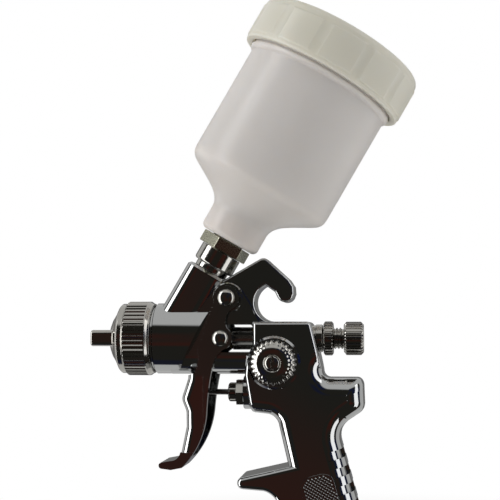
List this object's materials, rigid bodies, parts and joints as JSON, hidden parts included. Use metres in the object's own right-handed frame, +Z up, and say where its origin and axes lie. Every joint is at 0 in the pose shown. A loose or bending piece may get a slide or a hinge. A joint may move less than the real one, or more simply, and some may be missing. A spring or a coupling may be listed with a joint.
{
  "type": "gravity-feed spray gun",
  "caption": "Small gravity-feed spray gun with a tilted plastic cup, fluted air-cap ring, two-finger trigger, hanging hook and threaded air inlet under the grip.",
  "frame": {"origin": "centre of the end of the air inlet's male thread, under the grip", "axes": "+Z up with the needle axis level, -X the way the nozzle points, fan control on the -Y side"},
  "size_m": [0.1216, 0.0658, 0.2401],
  "materials": {
    "chrome_body": "polished chrome plate on die-cast zinc",
    "chrome_cap": "polished chrome plate on brass",
    "chrome_ring": "chrome plate over a fluted turned ring",
    "chrome_trigger": "polished chrome plate on die-cast zinc",
    "chrome_fittings": "chrome plate on turned brass",
    "satin_chrome": "dull nickel plate",
    "stainless": "turned stainless steel",
    "spring_steel": "drawn spring wire",
    "aluminium": "turned",
    "brass": "turned",
    "ptfe": "moulded PTFE",
    "seal_rubber": "moulded nitrile",
    "seal_white": "moulded white rubber",
    "cup_plastic": "moulded translucent polypropylene",
    "lid_plastic": "moulded translucent polypropylene",
    "filter_nylon": "moulded nylon with mesh"
  },
  "bodies": {
    "gun": {"gun_body": "chrome_body", "fluid_nozzle": "stainless", "air_distributor": "aluminium", "needle_packing": "ptfe", "needle_packing_nut": "brass", "needle_spring": "spring_steel", "guide_sleeve": "chrome_fittings", "air_valve_bushing": "chrome_fittings", "air_valve_packing": "ptfe", "air_valve_nut": "chrome_fittings", "air_valve_spring": "spring_steel", "fan_bushing": "chrome_fittings", "pivot_pin": "chrome_fittings", "pivot_screw": "chrome_fittings", "air_inlet_nipple": "chrome_fittings", "inlet_washer": "ptfe"},
    "cap_ring": {"air_cap_ring": "chrome_ring", "cap_seal": "ptfe"},
    "cap": {"air_cap": "chrome_cap"},
    "trigger": {"trigger": "chrome_trigger", "pull_pin": "chrome_fittings", "pull_pin_screw": "chrome_fittings"},
    "needle": {"fluid_needle": "stainless", "needle_carrier": "stainless"},
    "valve_stem": {"air_valve_stem": "stainless", "air_valve_seal": "seal_rubber"},
    "fan_control": {"fan_knob": "chrome_fittings", "fan_knob_screw": "chrome_fittings", "fan_needle": "brass", "fan_oring": "seal_rubber"},
    "lock_nut": {"fluid_lock_nut": "chrome_fittings"},
    "fluid_knob": {"fluid_knob": "chrome_fittings", "fluid_screw": "chrome_fittings"},
    "cup": {"cup": "cup_plastic", "cup_hex": "satin_chrome", "cup_connector": "chrome_fittings", "paint_filter": "filter_nylon"},
    "lid": {"cup_lid": "lid_plastic", "lid_gasket": "seal_white", "lid_vent_plug": "lid_plastic"}
  },
  "joints": [
    {"name": "cap_ring_unscrew", "type": "hinge", "parent": "gun", "child": "cap_ring", "pos_m": [-0.0917, 0, 0.1118], "axis": [-1, 0, 0], "range_deg": [0, 1080]},
    {"name": "cap_turn", "type": "hinge", "parent": "gun", "child": "cap", "pos_m": [-0.0917, 0, 0.1118], "axis": [-1, 0, 0], "range_deg": [-90, 90]},
    {"name": "trigger_pull", "type": "hinge", "parent": "gun", "child": "trigger", "pos_m": [-0.0471, 0, 0.1265], "axis": [0, -1, 0], "range_deg": [0, 11], "stiffness_Nm_per_rad": 2, "springref_deg": -5.73},
    {"name": "needle_slide", "type": "slide", "parent": "gun", "child": "needle", "axis": [1, 0, 0], "range_m": [0, 0.003], "deforming": ["needle_spring"]},
    {"name": "valve_slide", "type": "slide", "parent": "gun", "child": "valve_stem", "axis": [1, 0, 0], "range_m": [0, 0.0068], "deforming": ["air_valve_spring"]},
    {"name": "fan_turn", "type": "hinge", "parent": "gun", "child": "fan_control", "pos_m": [-0.0299, 0, 0.1031], "axis": [0, -1, 0], "range_deg": [0, 540]},
    {"name": "lock_nut_turn", "type": "hinge", "parent": "gun", "child": "lock_nut", "pos_m": [-0.0917, 0, 0.1118], "axis": [1, 0, 0], "range_deg": [0, 360]},
    {"name": "fluid_knob_turn", "type": "hinge", "parent": "gun", "child": "fluid_knob", "pos_m": [-0.0917, 0, 0.1118], "axis": [1, 0, 0], "range_deg": [0, 1440]},
    {"name": "cup_unscrew", "type": "hinge", "parent": "gun", "child": "cup", "pos_m": [-0.0697, 0, 0.1118], "axis": [0.506, 0, 0.8625], "range_deg": [0, 1440]},
    {"name": "lid_unscrew", "type": "hinge", "parent": "cup", "child": "lid", "pos_m": [-0.0697, 0, 0.1118], "axis": [0.506, 0, 0.8625], "range_deg": [0, 540]}
  ],
  "couplings": [
    {"joint": "needle_slide", "follows": "trigger_pull", "m_per_rad": 0.01482},
    {"joint": "valve_slide", "follows": "trigger_pull", "m_per_rad": 0.034596}
  ]
}
